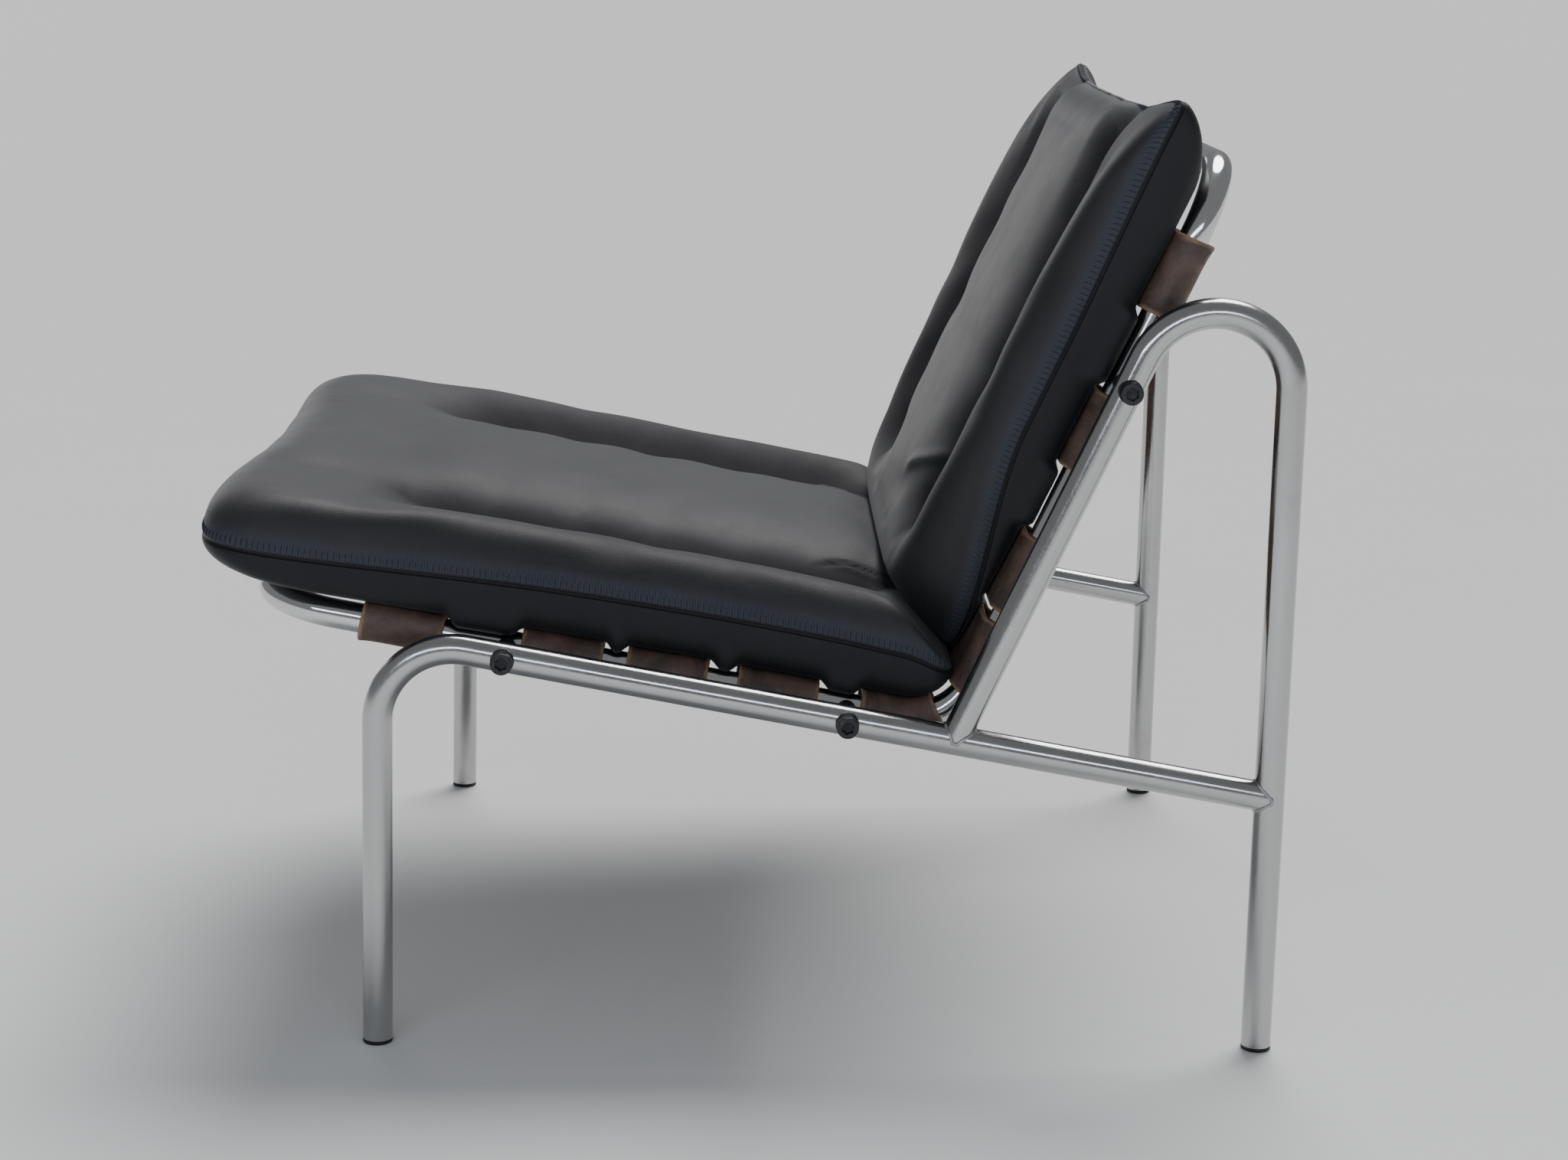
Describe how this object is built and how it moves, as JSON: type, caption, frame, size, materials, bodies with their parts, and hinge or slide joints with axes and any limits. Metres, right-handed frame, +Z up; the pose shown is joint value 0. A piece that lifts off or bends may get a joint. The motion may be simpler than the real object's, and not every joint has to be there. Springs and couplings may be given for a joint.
{
  "type": "lounge chair",
  "caption": "Low armless lounge chair: bent tube side frames bolted to a tube ring with leather straps, carrying loose channelled seat and back cushions.",
  "frame": {"origin": "on the floor, under the middle of the chair's bounding box", "axes": "+X across the chair to the sitter's left as seen from behind it, +Y to the rear, +Z up"},
  "size_m": [0.6828, 0.7916, 0.6957],
  "materials": {
    "side_frame": "dulled plated steel tube, satin",
    "ring": "bright plated steel tube",
    "strap": "worn reddish brown saddle leather",
    "cushion": "matte charcoal leather",
    "screw": "black oxide",
    "insert": "plated steel",
    "glide": "black plastic"
  },
  "bodies": {
    "root": {"front_leg_and_rail_left": "side_frame", "back_arch_and_rear_leg_left": "side_frame", "glide_front_left": "glide", "glide_rear_left": "glide", "front_leg_and_rail_right": "side_frame", "back_arch_and_rear_leg_right": "side_frame", "glide_front_right": "glide", "glide_rear_right": "glide", "sling_ring": "ring", "seat_strap_1": "strap", "seat_strap_2": "strap", "seat_strap_3": "strap", "seat_strap_4": "strap", "seat_strap_5": "strap", "back_strap_1": "strap", "back_strap_2": "strap", "back_strap_3": "strap", "back_strap_4": "strap", "cap_screw_front_left": "screw", "saddle_washer_front_left": "screw", "spacer_front_left": "screw", "threaded_insert_front_left": "insert", "cap_screw_middle_left": "screw", "saddle_washer_middle_left": "screw", "spacer_middle_left": "screw", "threaded_insert_middle_left": "insert", "cap_screw_back_left": "screw", "saddle_washer_back_left": "screw", "spacer_back_left": "screw", "threaded_insert_back_left": "insert", "cap_screw_front_right": "screw", "saddle_washer_front_right": "screw", "spacer_front_right": "screw", "threaded_insert_front_right": "insert", "cap_screw_middle_right": "screw", "saddle_washer_middle_right": "screw", "spacer_middle_right": "screw", "threaded_insert_middle_right": "insert", "cap_screw_back_right": "screw", "saddle_washer_back_right": "screw", "spacer_back_right": "screw", "threaded_insert_back_right": "insert", "seat_cushion": "cushion", "back_cushion": "cushion"}
  },
  "joints": []
}
